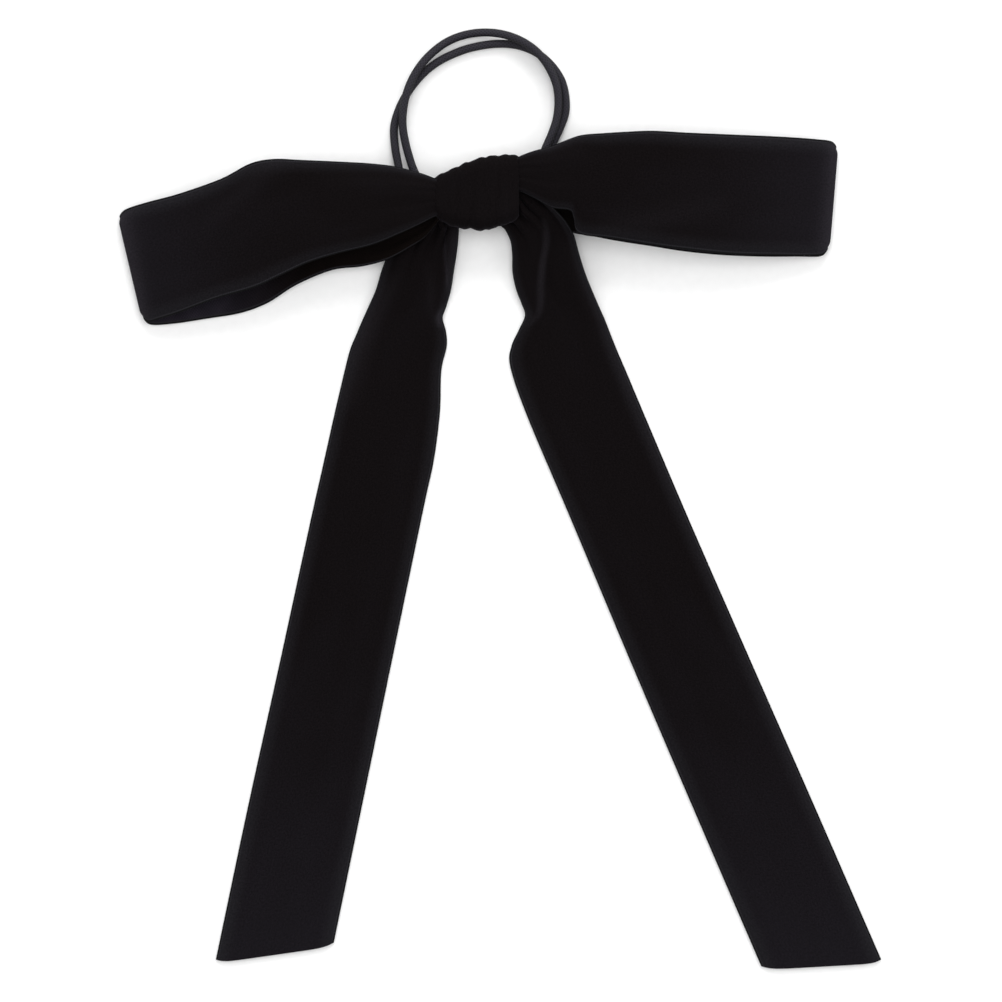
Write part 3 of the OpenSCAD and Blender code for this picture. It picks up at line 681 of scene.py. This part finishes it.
# The neck ends and the tail starts at the row of the split.
# [side, rows, side the pile is on, creases, row of the split, where the knot's hold starts and ends]
for side, rows, pile_side, creases, split, hold_from, hold_to in (
        ("left", LEFT_TAIL, -1, LEFT_TAIL_CREASES, 8, (-0.0135, -0.006, 0), (-0.019, -0.020, 0)),
        ("right", RIGHT_TAIL, 1, RIGHT_TAIL_CREASES, 9, (0.0135, -0.006, 0), (0.020, -0.020, 0))):
    crown = [r[6] for r in rows]
    pleats = [(r[7], pleats_across, 0.15 + 0.03 * k) for k, r in enumerate(rows)]
    points, normals, distance, bend_sheen = ribbon_grid(rows, row_steps, pile_side, crown, pleats, creases)
    along = unit(points[-1] - points[-2])
    bow = end_bow * (1 - np.abs(2 * ACROSS - 1) ** 8)
    points[-1] += along * bow[:, None]
    cut = split * row_steps
    whole = (points, normals, distance, bend_sheen)
    neck = ribbon_piece(side + "_tail_neck_ribbon", *(part[:cut + 1] for part in whole))
    tail = ribbon_piece(side + "_tail_ribbon", *(part[cut:] for part in whole))
    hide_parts(side + "_tail_neck")
    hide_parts(side + "_tail")
    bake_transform(neck)
    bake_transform(tail)


# ---------------------------------------------------------------- the knot

# [x, lower edge y, upper edge y, height]
KNOT = [
    [-12.8, -6.8, 4.4, 12.2], [-10.8, -8.2, 5.5, 12.7], [-8.6, -9.4, 6.4, 13.1], [-4.6, -10.5, 8.3, 13.6],
    [-1.7, -10.6, 9.3, 13.8], [1.0, -11.1, 10.2, 14.0], [4.4, -10.5, 10.9, 14.0], [7.0, -9.8, 11.0, 13.9],
    [9.8, -9.0, 11.2, 13.5], [12.4, -7.4, 11.0, 12.9]]
knot_rows = smooth_curve(KNOT, 14)
knot_back_r = 3.0
knot_front_r = 3.9
band_t = 0.95
# Soft ridges round the knot, where the band is gathered: [x, half width, height]
RIDGES = [
    [-11.4, 0.7, 0.35], [-9.3, 0.8, -0.45], [-7.4, 0.9, 0.35], [-5.6, 0.7, -0.5], [-3.6, 0.9, 0.4],
    [-1.7, 0.6, -0.5], [0.4, 1.0, 0.4], [2.5, 0.7, -0.5], [4.2, 0.8, 0.3], [6.1, 0.6, -0.5],
    [8.0, 0.9, 0.35], [9.9, 0.6, -0.4], [11.5, 0.6, 0.25]]
# Steps round each rounded corner and along each straight side between two corners
corner_steps = 9
side_steps = 10


def knot_ring(row, wall, ridge_share):
    """A closed rounded section of the knot at one row, drawn in by the wall. ridge_share: the share of
    the ridges' height that is left in it."""
    x, low, high, top = row
    low, high, floor, top = low + wall, high - wall, wall, top - wall
    back_r, front_r = knot_back_r - wall, knot_front_r - wall
    corners = [
        (high - back_r, floor + back_r, back_r, -90), (high - front_r, top - front_r, front_r, 0),
        (low + front_r, top - front_r, front_r, 90), (low + back_r, floor + back_r, back_r, 180)]
    outline = []
    for number, (cy, cz, r, start) in enumerate(corners):
        arc = [math.radians(start + 90 * k / corner_steps) for k in range(corner_steps + 1)]
        outline += [[cy + r * math.cos(a), cz + r * math.sin(a)] for a in arc]
        next_cy, next_cz, next_r, next_start = corners[(number + 1) % 4]
        to_y = next_cy + next_r * math.cos(math.radians(next_start))
        to_z = next_cz + next_r * math.sin(math.radians(next_start))
        from_y, from_z = outline[-1]
        outline += [[from_y + (to_y - from_y) * k / side_steps, from_z + (to_z - from_z) * k / side_steps]
                    for k in range(1, side_steps)]
    outline = np.array(outline)
    centre = outline.mean(axis=0)
    outward = unit(outline - centre)
    turned = np.arctan2(outward[:, 1], outward[:, 0])
    lift = np.zeros(len(outline))
    for place, half_width, height in RIDGES:
        wander = 0.55 * np.sin(turned * 2 + place) + 0.35 * np.sin(turned * 3 - place * 1.7)
        strength = 0.75 + 0.25 * np.sin(turned + place)
        lift += height * np.exp(-((x - place - wander) / half_width) ** 2) * strength
    # The back lies flat, so the ridges die out there.
    flat_back = np.clip((outline[:, 1] - 0.4) / 2.5, 0, 1)
    outline = outline + outward * (lift * flat_back * ridge_share)[:, None]
    return np.column_stack([np.full(len(outline), x), outline])


outer = np.array([knot_ring(row, 0, 0.6) for row in knot_rows])
inner = np.array([knot_ring(row, band_t, 0.5) for row in knot_rows])
# The two selvedges are turned under, so the pile rounds over at both ends.
left_end, right_end = knot_rows[0, 0], knot_rows[-1, 0]
end_gap = np.minimum(np.abs(knot_rows[:, 0] - left_end), np.abs(knot_rows[:, 0] - right_end))
rounding = np.interp(end_gap, [0, 0.3, 0.8, 1.5], [0.5, 0.25, 0.08, 0])
outer = outer + (inner - outer) * rounding[:, None, None]
ring_count, sides = outer.shape[:2]
band_points = np.concatenate([outer.reshape(-1, 3), inner.reshape(-1, 3)])
inside = ring_count * sides
middle_ring = outer[ring_count // 2]
round_steps = np.linalg.norm(np.roll(middle_ring, -1, axis=0) - middle_ring, axis=1)
round_way = np.concatenate([[0], np.cumsum(round_steps)])
turned_under = 4.5
width_way = np.interp(knot_rows[:, 0], [left_end, right_end], [turned_under, ribbon_width - turned_under])
band_faces, band_corners, band_kinds = [], [], []
for i in range(ring_count - 1):
    for s in range(sides):
        n = (s + 1) % sides
        a, b, c, d = i * sides + s, i * sides + n, (i + 1) * sides + n, (i + 1) * sides + s
        corners = [(width_way[i], round_way[s]), (width_way[i], round_way[s + 1]),
                   (width_way[i + 1], round_way[s + 1]), (width_way[i + 1], round_way[s])]
        band_faces.append((a, b, c, d))
        band_corners.append(corners)
        band_kinds.append(PILE)
        band_faces.append((inside + d, inside + c, inside + b, inside + a))
        band_corners.append(corners[::-1])
        band_kinds.append(BACKING)
for i in (0, ring_count - 1):
    for s in range(sides):
        n = (s + 1) % sides
        band_faces.append((i * sides + s, i * sides + n, inside + i * sides + n, inside + i * sides + s))
        band_corners.append([(width_way[i], round_way[s]), (width_way[i], round_way[s + 1])] * 2)
        band_kinds.append(SELVEDGE)
band = finish_mesh("knot_band_ribbon", band_points, band_faces, band_corners, "ribbon",
                   [velvet, backing, selvedge], band_kinds, sharp_angle)
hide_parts("knot_band")
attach(band, "knot")

# The gathered middles of the two ribbons inside the knot, pressed thin and folded like a fan
# [x, lower edge y, upper edge y, share of the folds' height]
GATHER_ROWS = [
    [-12.0, -5.8, 3.0, 0.6], [-6, -6.4, 5.2, 0.9], [0, -6.2, 6.0, 1.0], [6, -7.0, 7.4, 1.0],
    [11.8, -6.2, 9.2, 0.7]]
folds_across = 6
pressed_share = 0.35
# [name, z, how much narrower at each edge, height of the folds]
for name, middle_z, narrower, fold_height in (
        ("loop_pinch", 10.75, 1.2, 0.95), ("tail_pinch", 8.05, 0, 0.75)):
    rows = [[x, low + narrower, middle_z, x, high - narrower, middle_z] for x, low, high, _ in GATHER_ROWS]
    pleats = [(fold_height * row[3], folds_across, 0.05 * k) for k, row in enumerate(GATHER_ROWS)]
    points, normals, distance, bend_sheen = ribbon_grid(rows, row_steps, 1, [0] * len(rows), pleats, [])
    gathers = ribbon_piece(name + "_gathers", points, normals, distance, bend_sheen, pressed_share)
    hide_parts(name)
    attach(gathers, "knot")


# ---------------------------------------------------------------- thread and ferrule

for node, material in (
        ("band_stitches", thread), ("binding_thread", thread), ("keeper_stitches", thread),
        ("elastic_ferrule", nickel)):
    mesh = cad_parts[node].data
    mesh.materials.clear()
    mesh.materials.append(material)


# ---------------------------------------------------------------- floor and light

# Matt white paper with a faint grain
paper, tree, shader = new_material("matt white paper")
place = add_node(tree, "ShaderNodeTexCoord")
grain = add_node(tree, "ShaderNodeTexNoise", {}, {
    "Vector": place.outputs["Object"], "Scale": 400.0, "Detail": 2.0})
paper_colour = add_node(tree, "ShaderNodeMix", {"data_type": "RGBA"}, {
    0: grain.outputs["Fac"], 6: linear("#f4f4f4"), 7: linear("#fafafa")})
tree.links.new(paper_colour.outputs[2], shader.inputs["Base Color"])
shader.inputs["Roughness"].default_value = 0.9
shader.inputs["Specular IOR Level"].default_value = 0.1
bpy.ops.object.select_all(action="DESELECT")
bpy.ops.mesh.primitive_plane_add(size=12, location=(0, 0, 0))
bpy.ops.object.transform_apply(location=True, rotation=True, scale=True)
floor = bpy.context.object
floor.name = "floor"
floor.data.materials.append(paper)

world = bpy.data.worlds.new("studio")
world.use_nodes = True
world.node_tree.nodes["Background"].inputs["Color"].default_value = (1, 1, 1, 1)
world.node_tree.nodes["Background"].inputs["Strength"].default_value = 0.6
bpy.context.scene.world = world

# A broad light straight overhead, one behind and one low at each side that look at the knot.
# [name, place in metres, size, power]
LIGHTS = [
    ["top", (0.0, 0.1, 3.0), 2.5, 30],
    ["behind", (0.1, 1.5, 0.8), 1.0, 20],
    ["left", (-1.5, -0.1, 0.6), 1.0, 7],
    ["right", (1.5, 0.1, 0.6), 1.0, 10]]
for name, place, size, power in LIGHTS:
    turned = math.atan2(place[0], -place[1]) if name != "top" else 0
    tilt = math.atan2(math.hypot(place[0], place[1]), place[2]) if name != "top" else 0
    bpy.ops.object.light_add(type="AREA", location=place, rotation=(tilt, 0, turned))
    light = bpy.context.object
    light.name = "light_" + name
    light.data.size = size
    light.data.energy = power
